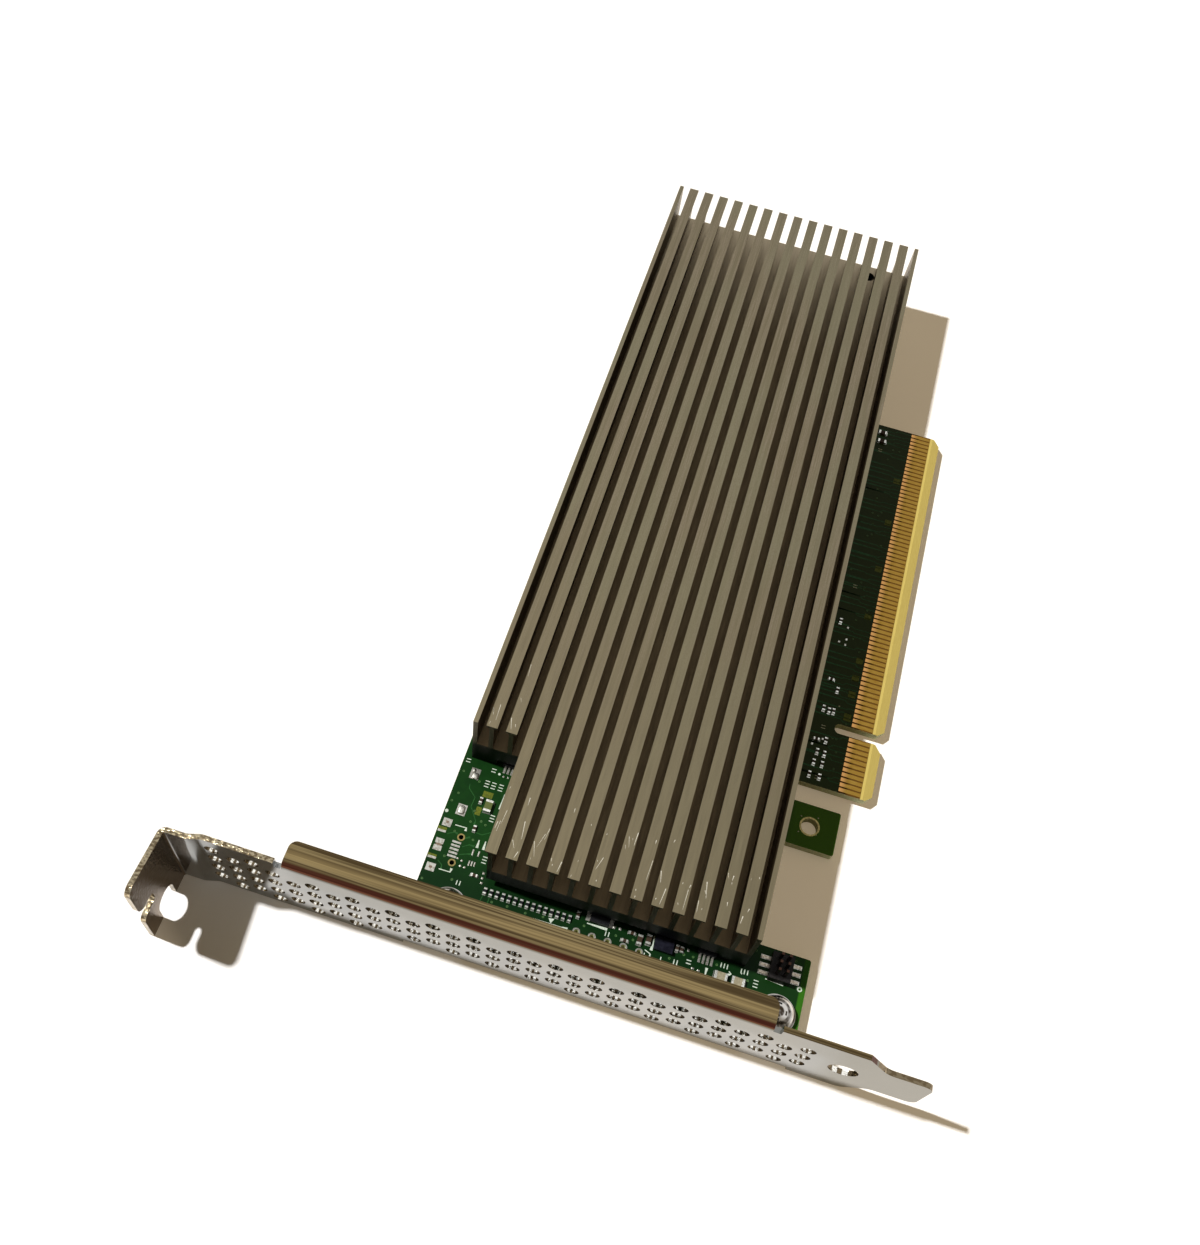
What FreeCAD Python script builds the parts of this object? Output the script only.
import FreeCAD
import Part
import math
import os

# Passive accelerator card: low-profile board, one-piece finned heatsink, full-height bracket.
# Millimetres. Origin on the leading edge of the edge connector, at the centre of the key
# notch, on the board's middle plane. +X leaves the board at the connector, +Y runs from the
# bracket to the far end, +Z is the component side.

# Board
board_thick = 1.57
board_height = 68.90
board_length = 167.65
key_to_near_end = 57.15
board_body_setback = 14.30
board_ledge_setback = 4.65
near_ledge_length = 14.76
board_tab_width = 8.0
board_tab_centre = 19.94
board_tab_hole_d = 2.9
board_tab_hole_inset = 4.80
board_recess_radius = 1.5
board_corner_radius = 0.4

# Edge connector
short_side = 12.15
long_side = 72.15
key_width = 1.90
key_depth = 8.80
connector_chamfer = 1.2
bevel_length = 1.60
bevel_drop = 0.50
contact_pitch = 1.0
contact_width = 0.70
contact_length = 3.85
contact_setback = 2.10
contact_thick = 0.05
contact_edge_margin = 0.65
key_to_first_contact = 1.50
land_thick = 0.04
tab_hole_land_width = 0.3

# Bracket, measured along it from the tab, outwards from its outer face, up from its lower edge
bracket_thick = 0.86
bracket_length = 120.02
bracket_width = 18.42
bracket_tip_past_edge = 14.11
bracket_face_to_board = 2.29
bend_radius = 0.45
screw_tab_depth = 11.43
screw_tab_flare = 1.4
screw_notch_width = 4.42
screw_notch_centre = 6.0
screw_notch_depth = 5.2
tab_slit_width = 2.6
tab_slit_length = 3.8
tab_slit_end_radius = 0.8
tab_top_radius = 1.6
tab_lobe_radius = 2.0
tab_finger_radius = 1.4
joggle_depth = 0.65
joggle_start = 4.30
joggle_end = 6.50
joggle_radius = 3.0
tongue_width = 10.19
tongue_length = 7.0
taper_length = 3.6
taper_radius = 2.4
tongue_tip_radius = 1.6
tongue_hole_d = 4.6
tongue_hole_from_tip = 12.3
flange_start = 19.3
flange_end = 95.3
flange_depth = 4.4
flange_corner_radius = 1.3
fold_relief_width = 1.2
fold_relief_depth = 1.5
vent_pitch = 3.733
vent_hole_d = 2.4
vent_first_column = 7.745
vent_columns = 30
vent_top_row = 14.97
vent_rows = 8
vent_edge_margin = 0.3
ear_depth = 11.2
ear_outer_reach = 4.9
ear_inner_reach = 3.6
ear_corner_radius = 2.0
ear_trim = 1.1

# Bracket screws
bracket_screw_d = 3.0
bracket_screw_from_edge = 4.61
first_screw_from_high = 6.0
second_screw_from_ledge = 3.85
bracket_screw_head_d = 5.2
bracket_screw_head_height = 1.9
bracket_washer_d = 6.2
bracket_washer_thick = 0.5
screw_tip_overrun = 0.4
screw_clearance = 0.2
thread_clearance = 0.01
screw_dome_share = 0.62
screw_rise_share = 0.55
screw_crown_drop_share = 0.18
recess_width = 0.7
recess_span = 2.8
recess_depth = 1.1

# Heatsink
sink_top_inset = 1.22
sink_connector_inset = 0.53
sink_far_inset = 0.20
sink_near_setback = 10.43
sink_short_setback = 30.65
sink_gap = 2.0
sink_base_thick = 4.0
fin_height = 7.9
fin_count = 15
short_fin_count = 2
fin_top_width = 1.87
fin_web = 0.8
fin_top_thick = 0.5
sink_wall = 0.8
foot_width = 4.4
foot_length = 5.6
sink_screw_d = 2.5
sink_screw_depth = 4.6
sink_screw_head_d = 4.6
sink_screw_head_height = 1.5
sink_washer_d = 5.4
sink_washer_thick = 0.4
sink_far_screw_inset = 3.1
sink_far_screw_slot = 2
clear_screw_index = 3
chip_screw_spacing = 32.0

# Accelerator chip
chip_centre_y = 30.6
substrate_x = 26.0
substrate_y = 34.0
substrate_thick = 1.10
die_x = 13.0
die_y = 17.0
die_thick = 0.75

# Power parts under the heatsink
inductor_size = 4.4
inductor_height = 1.8
inductor_chamfer = 0.44
inductor_count = 4
inductor_pitch = 8.0
power_row_y = 74.0
stage_x = 5.0
stage_y = 4.0
stage_height = 0.9
stage_row_gap = 3.0
bulk_x = 4.3
bulk_y = 7.3
bulk_height = 1.7
bulk_row_gap = 4.0

# Small parts
chip_length = 1.0
chip_width = 0.5
chip_height = 0.38
terminal_length = 0.25
large_chip_length = 1.6
large_chip_width = 0.8
large_chip_height = 0.5
large_terminal_length = 0.35
row_pitch = 1.024
row_count = 15
led_length = 2.1
led_width = 1.25
led_height = 0.7
led_terminal = 0.4
header_pitch = 1.27
header_rows = 3
header_body_width = 3.5
header_body_height = 1.5
header_body_margin = 0.35
header_pin = 0.42
header_pin_top = 4.4
header_foot_reach = 3.2
header_foot_thick = 0.2
header_from_edge = 11.7
header_from_ledge = 4.6
lead_width = 0.28
lead_thick = 0.15
body_clearance = 0.1
memory_x = 3.0
memory_y = 4.4
memory_height = 1.2
memory_lead_count = 4
memory_lead_pitch = 0.66
memory_lead_reach = 0.9
interface_x = 3.0
interface_y = 3.0
interface_height = 1.0
interface_lead_count = 4
interface_lead_pitch = 0.68
interface_lead_reach = 1.2
controller_x = 3.2
controller_y = 3.2
controller_height = 0.9
controller_lead_count = 6
controller_lead_pitch = 0.5
controller_lead_reach = 0.5
clock_x = 3.1
clock_y = 2.5
clock_height = 0.8

# Places on the component side, (from the high edge, from the near end)
strip_drawn_length = 64.25
resistor_row_place = (11.0, 8.95)
strip_chips_along_x = [(8.5, 10.85), (35.6, 9.85), (34.75, 8.3)]
strip_chips_along_y = [(5.9, 18.5), (5.3, 23.6), (26.5, 10.0), (43.1, 9.8), (43.85, 9.8)]
strip_large_chips_along_y = [(37.0, 9.2), (38.4, 9.7)]
strip_leds_along_x = [(50.8, 7.6), (53.6, 7.6)]
strip_leds_along_y = [(6.8, 22.9)]
memory_place = (8.3, 32.85)
controller_place = (30.1, 11.1)
clock_place = (40.95, 9.65)
interface_from_ledge = 16.35
interface_from_near = 11.6

# Places beside the connector, (from the ledge, along Y)
side_chips_along_x = [(6.6, 9.3), (6.9, -3.4)]
side_chips_along_y = [
    (7.2, 22.2), (5.1, 7.5), (6.8, 3.1), (5.8, 2.9), (5.0, 3.0), (5.2, -3.1), (6.3, -5.7),
    (5.0, -5.8), (6.5, -7.9), (5.0, -7.9), (6.8, -10.4), (5.0, -10.4),
]
side_large_chips_along_x = [(7.2, 70.0), (7.0, 67.7)]

# Lands of parts that aren't fitted: a small socket and a push button at the high edge, and a
# five-way header beside the bracket. Socket lands are (inset, reach from middle, size, size).
socket_from_near = 14.1
socket_hole_inset = 4.3
socket_hole_reach = 2.3
socket_hole_d = 0.8
socket_ring_d = 1.3
socket_contact_inset = 3.9
socket_contact_count = 5
socket_contact_pitch = 0.63
socket_contact_size = (1.5, 0.36)
socket_shell_lands = [(1.25, 4.05, 1.5, 1.4), (0.88, 2.4, 1.4, 0.4), (1.18, 0.62, 1.4, 0.9)]
button_inset = 2.75
button_lands_from_near = (21.0, 27.9)
button_land_size = (1.6, 2.0)
bare_header_place = (26.95, 7.3)
bare_header_pitch = 2.62
bare_header_count = 5
bare_header_hole_d = 0.8
bare_header_ring_d = 1.3
coupling_pitch = 4.0
coupling_pair_gap = 0.9
coupling_first_y = 4.5
coupling_count = 16
coupling_row_setback = 11.0
decoupling_pitch = 2.2
decoupling_column_count = 7
decoupling_row_count = 5

# Places worked out from the driving dimensions
board_top = board_thick / 2
board_bottom = -board_thick / 2
board_high_x = -board_height
board_near_y = -key_to_near_end
board_far_y = board_near_y + board_length
body_x = -board_body_setback
ledge_x = -board_ledge_setback
tab_x = bracket_tip_past_edge - bracket_length
face_y = board_near_y - bracket_face_to_board
low_z = board_bottom - bracket_thick
sink_left_x = board_high_x + sink_top_inset
sink_right_x = body_x - sink_connector_inset
sink_middle_x = (sink_left_x + sink_right_x) / 2
sink_width = sink_right_x - sink_left_x
fin_slot = (sink_width - 2 * sink_wall - fin_count * fin_top_width) / (fin_count + 1)
fin_pitch = fin_top_width + fin_slot
sink_near_y = board_near_y + sink_near_setback
sink_short_y = board_near_y + sink_short_setback
sink_far_y = board_far_y - sink_far_inset
base_low = board_top + sink_gap
floor_z = base_low + sink_base_thick
sink_top = floor_z + fin_height
chip_x = sink_middle_x
chip_y = chip_centre_y


def unit(dx, dy):
    length = math.hypot(dx, dy)
    return dx / length, dy / length


def place(a, b, axis, low):
    """A point of a flat outline: axis z takes (x, y), axis y takes (x, z), axis x takes (y, z)."""
    if axis == "z":
        return FreeCAD.Vector(a, b, low)
    if axis == "y":
        return FreeCAD.Vector(a, low, b)
    return FreeCAD.Vector(low, a, b)


def rounded_prism(corners, axis, low, high):
    """Extrude a closed outline of (a, b, radius) corners along an axis."""
    edges = []
    starts = []
    ends = []
    arcs = []
    count = len(corners)
    for i in range(count):
        a, b, radius = corners[i]
        if radius <= 0:
            starts.append((a, b))
            ends.append((a, b))
            arcs.append(None)
            continue
        ua, ub = unit(corners[i - 1][0] - a, corners[i - 1][1] - b)
        va, vb = unit(corners[(i + 1) % count][0] - a, corners[(i + 1) % count][1] - b)
        half = math.acos(max(-1.0, min(1.0, ua * va + ub * vb))) / 2
        back = radius / math.tan(half)
        ma, mb = unit(ua + va, ub + vb)
        reach = radius / math.sin(half) - radius
        starts.append((a + ua * back, b + ub * back))
        ends.append((a + va * back, b + vb * back))
        arcs.append((a + ma * reach, b + mb * reach))
    for i in range(count):
        if arcs[i]:
            points = [place(*p, axis, low) for p in (starts[i], arcs[i], ends[i])]
            edges.append(Part.Arc(*points).toShape())
        first = ends[i]
        second = starts[(i + 1) % count]
        if math.dist(first, second) > 1e-6:
            edges.append(Part.makeLine(place(*first, axis, low), place(*second, axis, low)))
    face = Part.Face(Part.Wire(edges))
    return face.extrude(place(0, 0, axis, high - low))


def bent_outline(path, thick, radius):
    """Outline of a sheet of even thickness whose middle follows a path, with bends of an inside radius."""
    sides = {1: [], -1: []}
    for i in range(len(path)):
        before = path[max(i - 1, 0)]
        here = path[i]
        after = path[min(i + 1, len(path) - 1)]
        if i == 0:
            before = (2 * here[0] - after[0], 2 * here[1] - after[1])
        if i == len(path) - 1:
            after = (2 * here[0] - before[0], 2 * here[1] - before[1])
        ua, ub = unit(here[0] - before[0], here[1] - before[1])
        va, vb = unit(after[0] - here[0], after[1] - here[1])
        turn = ua * vb - ub * va
        na, nb = unit(-ub - vb, ua + va)
        reach = thick / 2 / (na * -ub + nb * ua)
        for side in sides:
            inner = turn * side > 0
            size = radius if inner else radius + thick
            if abs(turn) < 1e-9:
                size = 0
            sides[side].append((here[0] + na * reach * side, here[1] + nb * reach * side, size))
    return sides[1] + sides[-1][::-1]


def block(x0, x1, y0, y1, z0, z1):
    return Part.makeBox(x1 - x0, y1 - y0, z1 - z0, FreeCAD.Vector(x0, y0, z0))


def centred_block(x, y, size_x, size_y, z0, z1):
    return block(x - size_x / 2, x + size_x / 2, y - size_y / 2, y + size_y / 2, z0, z1)


def rod(x, y, diameter, z0, z1):
    return Part.makeCylinder(diameter / 2, z1 - z0, FreeCAD.Vector(x, y, z0))


def ring(x, y, outer_d, inner_d, z0, z1):
    return rod(x, y, outer_d, z0, z1).cut(rod(x, y, inner_d, z0, z1))


def bracket_screw_points():
    y = board_near_y + bracket_screw_from_edge
    return [(board_high_x + first_screw_from_high, y), (ledge_x - second_screw_from_ledge, y)]


def slot_centre(index):
    """Middle of the slot to the left of T-fin number index, counted from 0."""
    return sink_left_x + sink_wall + fin_slot / 2 + index * fin_pitch


def sink_screw_points():
    """Foot screws at the near corners, then the far pair, then four round the chip."""
    far_y = sink_far_y - sink_far_screw_inset
    left = slot_centre(sink_far_screw_slot)
    right = slot_centre(fin_count - sink_far_screw_slot)
    near_left = (sink_left_x + foot_width / 2, sink_short_y + foot_length / 2)
    near_right = (sink_right_x - foot_width / 2, sink_near_y + foot_length / 2)
    points = [near_left, near_right, (left, far_y), (right, far_y)]
    for x in (left, right):
        for side in (-1, 1):
            points.append((x, chip_y + side * chip_screw_spacing / 2))
    return points


def strip_place(from_high, from_near):
    """A place between the bracket and the heatsink; these spread with the board's height."""
    spread = (ledge_x - board_high_x) / strip_drawn_length
    return board_high_x + from_high * spread, board_near_y + from_near


def socket_hole_points():
    """Locating holes of the small socket at the board's high edge."""
    x = board_high_x + socket_hole_inset
    middle = board_near_y + socket_from_near
    return [(x, middle - socket_hole_reach), (x, middle + socket_hole_reach)]


def bare_header_points():
    """Holes of the five-way header beside the bracket."""
    from_high, from_near = bare_header_place
    return [strip_place(from_high + i * bare_header_pitch, from_near) for i in range(bare_header_count)]


def make_board():
    tab_low = -board_tab_centre - board_tab_width / 2
    tab_high = -board_tab_centre + board_tab_width / 2
    ledge_end = board_near_y + near_ledge_length
    c = connector_chamfer
    half_key = key_width / 2
    r = board_recess_radius
    e = board_corner_radius
    outline = [
        (board_high_x, board_near_y, e), (ledge_x, board_near_y, e),
        (ledge_x, ledge_end, e), (body_x, ledge_end, r),
        (body_x, tab_low, r), (ledge_x, tab_low, e),
        (ledge_x, tab_high, e), (body_x, tab_high, r),
        (body_x, -short_side, r), (-c, -short_side, 0),
        (0, -short_side + c, 0), (0, -half_key - c, 0),
        (-c, -half_key, 0), (-key_depth, -half_key, half_key),
        (-key_depth, half_key, half_key), (-c, half_key, 0),
        (0, half_key + c, 0), (0, long_side - c, 0),
        (-c, long_side, 0), (body_x, long_side, r),
        (body_x, board_far_y, e), (board_high_x, board_far_y, e),
    ]
    board = rounded_prism(outline, "z", board_bottom, board_top)
    holes = [(p, bracket_screw_d + 2 * screw_clearance) for p in bracket_screw_points()]
    holes += [(p, sink_screw_d + 2 * screw_clearance) for p in sink_screw_points()]
    holes += [(p, socket_hole_d) for p in socket_hole_points()]
    holes += [(p, bare_header_hole_d) for p in bare_header_points()]
    holes.append((board_tab_hole(), board_tab_hole_d))
    tools = [rod(x, y, d, board_bottom, board_top) for (x, y), d in holes]
    for surface, drop in ((board_top, -bevel_drop), (board_bottom, bevel_drop)):
        wedge = [(0, surface, 0), (-bevel_length, surface, 0), (0, surface + drop, 0)]
        tools.append(rounded_prism(wedge, "y", -short_side, long_side))
    return board.cut(tools)


def board_tab_hole():
    return ledge_x - board_tab_hole_inset, -board_tab_centre


def contact_places():
    """Contact centres along Y on both sides of the key notch."""
    before = int((short_side - contact_edge_margin - key_to_first_contact) / contact_pitch + 1.5)
    after = int((long_side - contact_edge_margin - key_to_first_contact) / contact_pitch + 1.5)
    places = [-key_to_first_contact - i * contact_pitch for i in range(before)]
    return places + [key_to_first_contact + i * contact_pitch for i in range(after)]


def make_contacts(low, high):
    plates = []
    for y in contact_places():
        half = contact_width / 2
        outer = -contact_setback
        inner = outer - contact_length
        plates.append(block(inner, outer, y - half, y + half, low, high))
    return Part.makeCompound(plates)


def strip_outline():
    """Side view of the bracket's flat strip, (along, up) from the tab and the lower edge."""
    low = (bracket_width - tongue_width) / 2
    high = low + tongue_width
    root = bracket_length - tongue_length
    shoulder = root - taper_length
    ears = ear_spans()
    trim_start = ears[0][0]
    trim_end = ears[-1][1]
    return [
        (0, 0, 0), (trim_start, 0, 0), (trim_start, ear_trim, 0), (trim_end, ear_trim, 0),
        (trim_end, 0, 0), (shoulder, 0, taper_radius), (root, low, taper_radius),
        (bracket_length, low, tongue_tip_radius), (bracket_length, high, tongue_tip_radius),
        (root, high, taper_radius), (shoulder, bracket_width, 0), (0, bracket_width, 0),
    ]


def ear_spans():
    """Start and end of each ear along the bracket, round its screw."""
    first, second = [x - tab_x for x, y in bracket_screw_points()]
    return [(first - ear_outer_reach, first + ear_outer_reach),
            (second - ear_inner_reach, second + ear_inner_reach)]


def tab_outline():
    """Front view of the flared screw tab, (outwards, up), with its slit and screw notch."""
    out = -screw_tab_depth
    crease = tab_crease()
    slit_low = bracket_width / 2 - tab_slit_width / 2
    slit_high = slit_low + tab_slit_width
    notch_out = -screw_notch_centre - screw_notch_width / 2
    notch_in = notch_out + screw_notch_width
    end = out + tab_slit_length
    half_notch = screw_notch_width / 2
    return [
        (crease, 0, 0), (notch_in, -tab_flare_at(notch_in), 0),
        (notch_in, screw_notch_depth, half_notch), (notch_out, screw_notch_depth, half_notch),
        (notch_out, -tab_flare_at(notch_out), tab_finger_radius), (out, -screw_tab_flare, tab_finger_radius),
        (out, slit_low, tab_finger_radius), (end, slit_low, tab_slit_end_radius),
        (end, slit_high, tab_slit_end_radius), (out, slit_high, tab_lobe_radius),
        (out, bracket_width + screw_tab_flare, tab_top_radius), (crease, bracket_width, 0),
    ]


def tab_crease():
    """Where the tab's flat part starts, outwards from the bracket's face."""
    return -joggle_depth - bend_radius


def tab_flare_at(outwards):
    share = (tab_crease() - outwards) / (tab_crease() + screw_tab_depth)
    return screw_tab_flare * share


def vent_holes():
    """Staggered round holes, left out under the flange fold and over the board's ears."""
    column_step = vent_pitch * math.sqrt(3) / 2
    row_step = vent_pitch / 2
    radius = vent_hole_d / 2
    holes = []
    for column in range(vent_columns):
        along = vent_first_column + column * column_step
        reach = along + radius + vent_edge_margin
        for row in range(vent_rows):
            if (column + row) % 2:
                continue
            if row == 0 and reach > flange_start - fold_relief_width:
                continue
            if row == vent_rows - 1 and reach > ear_spans()[0][0]:
                continue
            up = vent_top_row - row * row_step
            start = FreeCAD.Vector(along, -bracket_thick, up)
            holes.append(Part.makeCylinder(radius, 3 * bracket_thick, start, FreeCAD.Vector(0, 1, 0)))
    return holes


def make_bracket():
    t = bracket_thick
    fold = t + bend_radius
    middle = t / 2
    route = [
        (middle, -screw_tab_depth), (middle, middle - joggle_depth),
        (joggle_start, middle - joggle_depth), (joggle_end, middle), (bracket_length, middle),
    ]
    outline = bent_outline(route, t, bend_radius)
    soft = [(a, b, r if i in (1, 8) else (joggle_radius if r else 0)) for i, (a, b, r) in enumerate(outline)]
    sheet = rounded_prism(soft, "z", -screw_tab_flare, bracket_width + screw_tab_flare)
    front = rounded_prism(strip_outline(), "y", tab_crease(), t)
    side = rounded_prism(tab_outline(), "x", 0, t)
    sheet = sheet.common(front.fuse(side))
    tools = vent_holes()
    tools.append(block(flange_start, flange_end, 0, t, bracket_width - fold, bracket_width))
    for start in (flange_start - fold_relief_width, flange_end):
        low = bracket_width - fold_relief_depth
        tools.append(block(start, start + fold_relief_width, 0, t, low, bracket_width))
    for start, end in ear_spans():
        tools.append(block(start, end, 0, t, 0, fold))
    hole_x = bracket_length - tongue_hole_from_tip
    centre = FreeCAD.Vector(hole_x, 0, bracket_width / 2)
    tools.append(Part.makeCylinder(tongue_hole_d / 2, t, centre, FreeCAD.Vector(0, 1, 0)))
    sheet = sheet.cut(tools)
    folds = [make_flange()]
    for (start, end), point in zip(ear_spans(), bracket_screw_points()):
        folds.append(make_ear(start, end, point))
    bracket = sheet.fuse(folds).removeSplitter()
    bracket.translate(FreeCAD.Vector(tab_x, face_y, low_z))
    return bracket


def make_flange():
    """Flange folded from the strip's top edge over the board."""
    t = bracket_thick
    top = bracket_width
    path = [(t / 2, top - t - bend_radius), (t / 2, top - t / 2), (flange_depth, top - t / 2)]
    fold = rounded_prism(bent_outline(path, t, bend_radius), "x", flange_start, flange_end)
    r = flange_corner_radius
    shape = [(flange_start, 0, 0), (flange_end, 0, 0), (flange_end, flange_depth, r),
             (flange_start, flange_depth, r)]
    return fold.common(rounded_prism(shape, "z", 0, top))


def make_ear(start, end, point):
    """Ear folded from the strip's lower edge under the board, with a threaded hole."""
    t = bracket_thick
    path = [(t / 2, t + bend_radius), (t / 2, t / 2), (ear_depth, t / 2)]
    fold = rounded_prism(bent_outline(path, t, bend_radius), "x", start, end)
    r = ear_corner_radius
    shape = [(start, 0, 0), (end, 0, 0), (end, ear_depth, r), (start, ear_depth, r)]
    ear = fold.common(rounded_prism(shape, "z", 0, t + bend_radius))
    hole_d = bracket_screw_d + 2 * thread_clearance
    return ear.cut(rod(point[0] - tab_x, point[1] - face_y, hole_d, 0, t))


def pan_screw(x, y, head_z, way, head_d, head_height, shank_d, shank_length):
    """Screw with a domed head that rises from head_z in the direction way, and a cross recess."""
    half = head_d / 2
    dome = half * screw_dome_share
    rise = head_height * screw_rise_share
    crown_z = head_height - (head_height - rise) * screw_crown_drop_share
    axis = FreeCAD.Vector(0, 0, 1)
    start = FreeCAD.Vector(0, 0, head_height)
    side = FreeCAD.Vector(half, 0, rise)
    crown = FreeCAD.Vector(dome, 0, crown_z)
    edges = [
        Part.Arc(start, crown, side).toShape(),
        Part.makeLine(side, FreeCAD.Vector(half, 0, 0)),
        Part.makeLine(FreeCAD.Vector(half, 0, 0), FreeCAD.Vector(shank_d / 2, 0, 0)),
        Part.makeLine(FreeCAD.Vector(shank_d / 2, 0, 0), FreeCAD.Vector(shank_d / 2, 0, -shank_length)),
        Part.makeLine(FreeCAD.Vector(shank_d / 2, 0, -shank_length), FreeCAD.Vector(0, 0, -shank_length)),
        Part.makeLine(FreeCAD.Vector(0, 0, -shank_length), start),
    ]
    screw = Part.Face(Part.Wire(edges)).revolve(FreeCAD.Vector(0, 0, 0), axis, 360)
    span = recess_span * head_d / bracket_screw_head_d
    width = recess_width * head_d / bracket_screw_head_d
    low = head_height - recess_depth * head_height / bracket_screw_head_height
    cross = [centred_block(0, 0, span, width, low, head_height),
             centred_block(0, 0, width, span, low, head_height)]
    screw = screw.cut(cross)
    if way < 0:
        screw.rotate(FreeCAD.Vector(0, 0, 0), FreeCAD.Vector(1, 0, 0), 180)
    screw.translate(FreeCAD.Vector(x, y, head_z))
    return screw


def make_bracket_screws():
    head_z = board_top + bracket_washer_thick
    length = bracket_washer_thick + board_thick + bracket_thick + screw_tip_overrun
    screws = []
    for x, y in bracket_screw_points():
        screws.append(pan_screw(x, y, head_z, 1, bracket_screw_head_d, bracket_screw_head_height,
                                bracket_screw_d, length))
    return Part.makeCompound(screws)


def make_bracket_washers():
    high = board_top + bracket_washer_thick
    inner = bracket_screw_d + 2 * thread_clearance
    return Part.makeCompound([ring(x, y, bracket_washer_d, inner, board_top, high)
                              for x, y in bracket_screw_points()])


def make_heatsink():
    """Base, two outer walls, T-fins, feet and screw holes, with the near corner cut back."""
    step_x = slot_centre(short_fin_count) + fin_slot / 2 + (fin_top_width - fin_web) / 2
    base = [
        (step_x, sink_near_y, 0), (sink_right_x, sink_near_y, 0), (sink_right_x, sink_far_y, 0),
        (sink_left_x, sink_far_y, 0), (sink_left_x, sink_short_y, 0), (step_x, sink_short_y, 0),
    ]
    pieces = [rounded_prism(base, "z", base_low, floor_z)]
    pieces.append(block(sink_left_x, sink_left_x + sink_wall, sink_short_y, sink_far_y, floor_z, sink_top))
    pieces.append(block(sink_right_x - sink_wall, sink_right_x, sink_near_y, sink_far_y, floor_z, sink_top))
    for index in range(fin_count):
        start = sink_short_y if index < short_fin_count else sink_near_y
        left = slot_centre(index) + fin_slot / 2
        right = left + fin_top_width
        web = left + (fin_top_width - fin_web) / 2
        under = sink_top - fin_top_thick
        shape = [
            (web, floor_z, 0), (web + fin_web, floor_z, 0), (web + fin_web, under, 0), (right, under, 0),
            (right, sink_top, 0), (left, sink_top, 0), (left, under, 0), (web, under, 0),
        ]
        pieces.append(rounded_prism(shape, "y", start, sink_far_y))
    for x, y in sink_screw_points():
        pieces.append(centred_block(x, y, foot_width, foot_length, board_top, base_low))
    sink = pieces[0].fuse(pieces[1:]).removeSplitter()
    hole_d = sink_screw_d + 2 * thread_clearance
    tools = []
    for index, (x, y) in enumerate(sink_screw_points()):
        high = floor_z if index == clear_screw_index else board_top + sink_screw_depth
        tools.append(rod(x, y, hole_d, board_top, high))
    return sink.cut(tools)


def make_sink_screws():
    head_z = board_bottom - sink_washer_thick
    length = sink_washer_thick + board_thick + sink_screw_depth - screw_tip_overrun
    return Part.makeCompound([pan_screw(x, y, head_z, -1, sink_screw_head_d, sink_screw_head_height,
                                        sink_screw_d, length)
                              for x, y in sink_screw_points()])


def make_sink_washers():
    low = board_bottom - sink_washer_thick
    inner = sink_screw_d + 2 * thread_clearance
    return Part.makeCompound([ring(x, y, sink_washer_d, inner, low, board_bottom)
                              for x, y in sink_screw_points()])


def make_substrate():
    return centred_block(chip_x, chip_y, substrate_x, substrate_y, board_top, board_top + substrate_thick)


def make_die():
    low = board_top + substrate_thick
    return centred_block(chip_x, chip_y, die_x, die_y, low, low + die_thick)


def make_thermal_layer():
    low = board_top + substrate_thick + die_thick
    return centred_block(chip_x, chip_y, die_x, die_y, low, base_low)


def power_places(y):
    first = sink_middle_x - (inductor_count - 1) * inductor_pitch / 2
    return [(first + i * inductor_pitch, y) for i in range(inductor_count)]


def stage_row_y():
    return power_row_y + inductor_size / 2 + stage_row_gap + stage_y / 2


def make_inductors():
    high = board_top + inductor_height
    shapes = []
    for x, y in power_places(power_row_y):
        body = centred_block(x, y, inductor_size, inductor_size, board_top, high)
        uprights = [e for e in body.Edges if abs(e.Vertexes[0].Z - e.Vertexes[1].Z) > inductor_height / 2]
        shapes.append(body.makeChamfer(inductor_chamfer, uprights))
    return Part.makeCompound(shapes)


def make_power_stages():
    high = board_top + stage_height
    return Part.makeCompound([centred_block(x, y, stage_x, stage_y, board_top, high)
                              for x, y in power_places(stage_row_y())])


def make_stage_pads():
    low = board_top + stage_height
    return Part.makeCompound([centred_block(x, y, stage_x, stage_y, low, base_low)
                              for x, y in power_places(stage_row_y())])


def make_bulk_capacitors():
    y = power_row_y - inductor_size / 2 - bulk_row_gap - bulk_y / 2
    high = board_top + bulk_height
    return Part.makeCompound([centred_block(x, y, bulk_x, bulk_y, board_top, high)
                              for x, y in power_places(y)])


def chip_parts(places, length, width, height, terminal, surface, way):
    """Bodies and end caps of two-terminal chips; each place is (x, y, lies along x)."""
    bodies = []
    caps = []
    low, high = sorted((surface, surface + way * height))
    for x, y, along_x in places:
        body = length - 2 * terminal
        step = (length - terminal) / 2
        size = (body, width) if along_x else (width, body)
        cap = (terminal, width) if along_x else (width, terminal)
        bodies.append(centred_block(x, y, size[0], size[1], low, high))
        for side in (-1, 1):
            dx = side * step if along_x else 0
            dy = 0 if along_x else side * step
            caps.append(centred_block(x + dx, y + dy, cap[0], cap[1], low, high))
    return bodies, caps


def resistor_places():
    from_high, from_near = resistor_row_place
    return [(*strip_place(from_high + i * row_pitch, from_near), False) for i in range(row_count)]


def capacitor_places():
    """Loose chips beside the bracket and between the heatsink and the connector."""
    places = [(*strip_place(*spot), True) for spot in strip_chips_along_x]
    places += [(*strip_place(*spot), False) for spot in strip_chips_along_y]
    places += [(ledge_x - inset, y, True) for inset, y in side_chips_along_x]
    places += [(ledge_x - inset, y, False) for inset, y in side_chips_along_y]
    return places


def large_capacitor_places():
    places = [(*strip_place(*spot), False) for spot in strip_large_chips_along_y]
    places += [(ledge_x - inset, y, True) for inset, y in side_large_chips_along_x]
    return places


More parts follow.
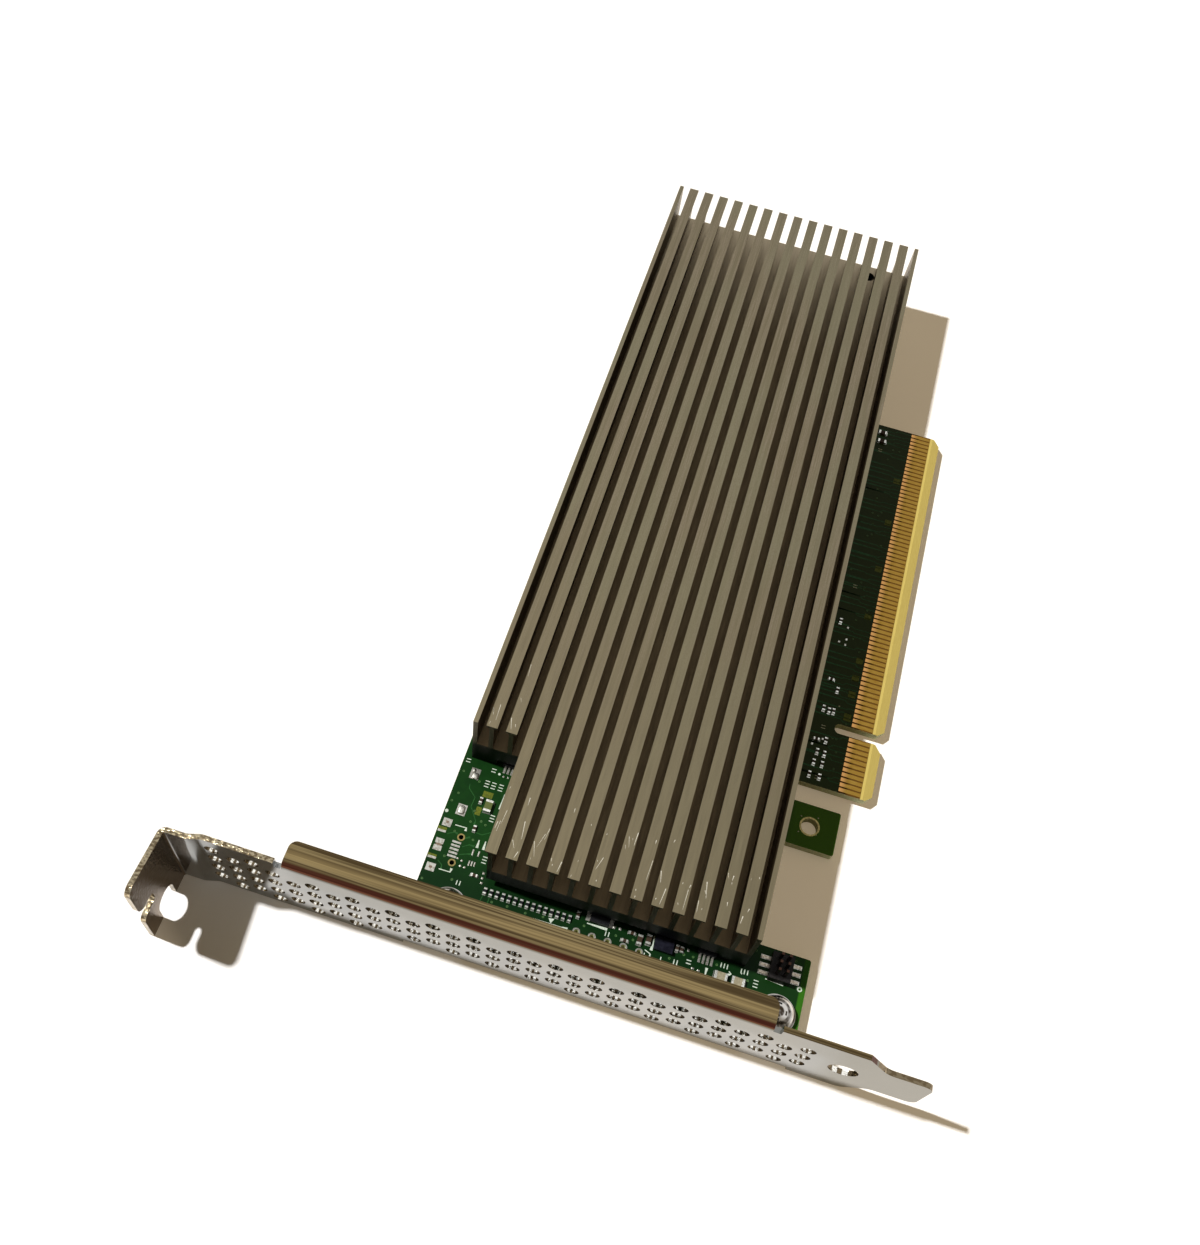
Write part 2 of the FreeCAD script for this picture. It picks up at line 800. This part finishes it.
def led_places():
    places = [(*strip_place(*spot), True) for spot in strip_leds_along_x]
    places += [(*strip_place(*spot), False) for spot in strip_leds_along_y]
    return places


def coupling_places():
    """Pairs of coupling capacitors for the lanes, on the solder side above the contacts."""
    x = -coupling_row_setback
    places = []
    for lane in range(coupling_count):
        y = coupling_first_y + lane * coupling_pitch
        places.append((x, y, True))
        places.append((x, y + coupling_pair_gap, True))
    return places


def decoupling_places():
    """Grid of decoupling capacitors on the solder side, behind the accelerator chip."""
    places = []
    for column in range(decoupling_column_count):
        for row in range(decoupling_row_count):
            x = chip_x + (column - (decoupling_column_count - 1) / 2) * decoupling_pitch
            y = chip_y + (row - (decoupling_row_count - 1) / 2) * decoupling_pitch
            places.append((x, y, row % 2 == 0))
    return places


def leaded_chip(x, y, size_x, size_y, height, leads, pitch, reach, sides, turned=False):
    """Body and gull leads of a small chip; sides lists the Y sides with leads, X sides if turned."""
    low = board_top + body_clearance
    body = centred_block(x, y, size_x, size_y, low, board_top + height)
    shapes = []
    for side in sides:
        edge = y + side * size_y / 2
        for i in range(leads):
            lx = x + (i - (leads - 1) / 2) * pitch
            y0, y1 = sorted((edge, edge + side * reach))
            foot = block(lx - lead_width / 2, lx + lead_width / 2, y0, y1, board_top, board_top + lead_thick)
            post0, post1 = sorted((edge, edge + side * lead_thick))
            post = block(lx - lead_width / 2, lx + lead_width / 2, post0, post1, board_top,
                         board_top + height / 2)
            shapes.append(foot.fuse(post).removeSplitter())
    if turned:
        for shape in [body] + shapes:
            shape.rotate(FreeCAD.Vector(x, y, 0), FreeCAD.Vector(0, 0, 1), 90)
    return body, shapes


def memory_chip():
    return leaded_chip(*strip_place(*memory_place), memory_x, memory_y, memory_height,
                       memory_lead_count, memory_lead_pitch, memory_lead_reach, (-1,))


def interface_chip():
    x = ledge_x - interface_from_ledge
    y = board_near_y + interface_from_near
    return leaded_chip(x, y, interface_x, interface_y, interface_height,
                       interface_lead_count, interface_lead_pitch, interface_lead_reach, (-1,))


def controller_chip():
    return leaded_chip(*strip_place(*controller_place), controller_x, controller_y, controller_height,
                       controller_lead_count, controller_lead_pitch, controller_lead_reach, (-1, 1), True)


def clock_chip():
    return centred_block(*strip_place(*clock_place), clock_x, clock_y, board_top, board_top + clock_height)


def header_centre():
    return ledge_x - header_from_ledge, board_near_y + header_from_edge


def header_pins():
    """Six posts with sideways feet; the posts pass through the housing."""
    cx, cy = header_centre()
    pins = []
    for column in (-1, 1):
        for row in range(header_rows):
            x = cx + column * header_pitch / 2
            y = cy + (row - (header_rows - 1) / 2) * header_pitch
            post = centred_block(x, y, header_pin, header_pin, board_top, board_top + header_pin_top)
            x0, x1 = sorted((x, cx + column * header_foot_reach))
            half = header_pin / 2
            foot = block(x0, x1, y - half, y + half, board_top, board_top + header_foot_thick)
            pins.append(post.fuse(foot).removeSplitter())
    return pins


def make_header_housing():
    cx, cy = header_centre()
    length = header_rows * header_pitch + 2 * header_body_margin - body_clearance
    low = board_top + header_foot_thick
    body = centred_block(cx, cy, header_body_width, length, low, low + header_body_height)
    return body.cut(header_pins())


def make_spare_part_lands():
    """Tinned lands of the socket, the push button and the header that aren't fitted."""
    high = board_top + land_thick
    middle = board_near_y + socket_from_near
    lands = [ring(x, y, socket_ring_d, socket_hole_d, board_top, high) for x, y in socket_hole_points()]
    for x, y in bare_header_points():
        for base in (board_top, board_bottom - land_thick):
            lands.append(ring(x, y, bare_header_ring_d, bare_header_hole_d, base, base + land_thick))
    for i in range(socket_contact_count):
        y = middle + (i - (socket_contact_count - 1) / 2) * socket_contact_pitch
        x = board_high_x + socket_contact_inset
        lands.append(centred_block(x, y, *socket_contact_size, board_top, high))
    for inset, reach, size_x, size_y in socket_shell_lands:
        for side in (-1, 1):
            y = middle + side * reach
            lands.append(centred_block(board_high_x + inset, y, size_x, size_y, board_top, high))
    for from_near in button_lands_from_near:
        y = board_near_y + from_near
        lands.append(centred_block(board_high_x + button_inset, y, *button_land_size, board_top, high))
    return Part.makeCompound(lands)


def make_hole_lands():
    """Plated lands round the board tab's hole, on both faces."""
    x, y = board_tab_hole()
    inner = board_tab_hole_d
    outer = inner + 2 * tab_hole_land_width
    return Part.makeCompound([
        ring(x, y, outer, inner, board_top, board_top + land_thick),
        ring(x, y, outer, inner, board_bottom - land_thick, board_bottom),
    ])


def save(name, shape):
    shape.exportStep("parts/" + name + ".step")


def main():
    os.makedirs("parts", exist_ok=True)
    small = (chip_length, chip_width, chip_height, terminal_length)
    resistors, resistor_caps = chip_parts(resistor_places(), *small, board_top, 1)
    capacitors, capacitor_caps = chip_parts(capacitor_places(), *small, board_top, 1)
    large = (large_chip_length, large_chip_width, large_chip_height, large_terminal_length)
    large_capacitors, large_caps = chip_parts(large_capacitor_places(), *large, board_top, 1)
    leds, led_caps = chip_parts(led_places(), led_length, led_width, led_height, led_terminal, board_top, 1)
    coupling, coupling_caps = chip_parts(coupling_places(), *small, board_bottom, -1)
    decoupling, decoupling_caps = chip_parts(decoupling_places(), *small, board_bottom, -1)
    memory, memory_feet = memory_chip()
    interface, interface_feet = interface_chip()
    controller, controller_feet = controller_chip()
    nodes = {
        "circuit_board": make_board(),
        "edge_contacts_component_side": make_contacts(board_top, board_top + contact_thick),
        "edge_contacts_solder_side": make_contacts(board_bottom - contact_thick, board_bottom),
        "bracket": make_bracket(),
        "bracket_screws": make_bracket_screws(),
        "bracket_screw_washers": make_bracket_washers(),
        "heatsink": make_heatsink(),
        "heatsink_screws": make_sink_screws(),
        "heatsink_screw_washers": make_sink_washers(),
        "accelerator_substrate": make_substrate(),
        "accelerator_die": make_die(),
        "thermal_layer": make_thermal_layer(),
        "power_inductors": make_inductors(),
        "power_stages": make_power_stages(),
        "power_stage_pads": make_stage_pads(),
        "bulk_capacitors": make_bulk_capacitors(),
        "resistor_row": Part.makeCompound(resistors),
        "chip_capacitors": Part.makeCompound(capacitors + large_capacitors),
        "status_leds": Part.makeCompound(leds),
        "chip_end_caps": Part.makeCompound(resistor_caps + capacitor_caps + large_caps + led_caps),
        "solder_side_coupling_capacitors": Part.makeCompound(coupling),
        "solder_side_decoupling_capacitors": Part.makeCompound(decoupling),
        "solder_side_end_caps": Part.makeCompound(coupling_caps + decoupling_caps),
        "memory_chip": memory,
        "interface_chip": interface,
        "chip_leads": Part.makeCompound(memory_feet + interface_feet + controller_feet),
        "clock_chip": clock_chip(),
        "controller_chip": controller,
        "pin_header_housing": make_header_housing(),
        "pin_header_pins": Part.makeCompound(header_pins()),
        "spare_part_lands": make_spare_part_lands(),
        "tab_hole_lands": make_hole_lands(),
    }
    for name, shape in nodes.items():
        save(name, shape)


main()
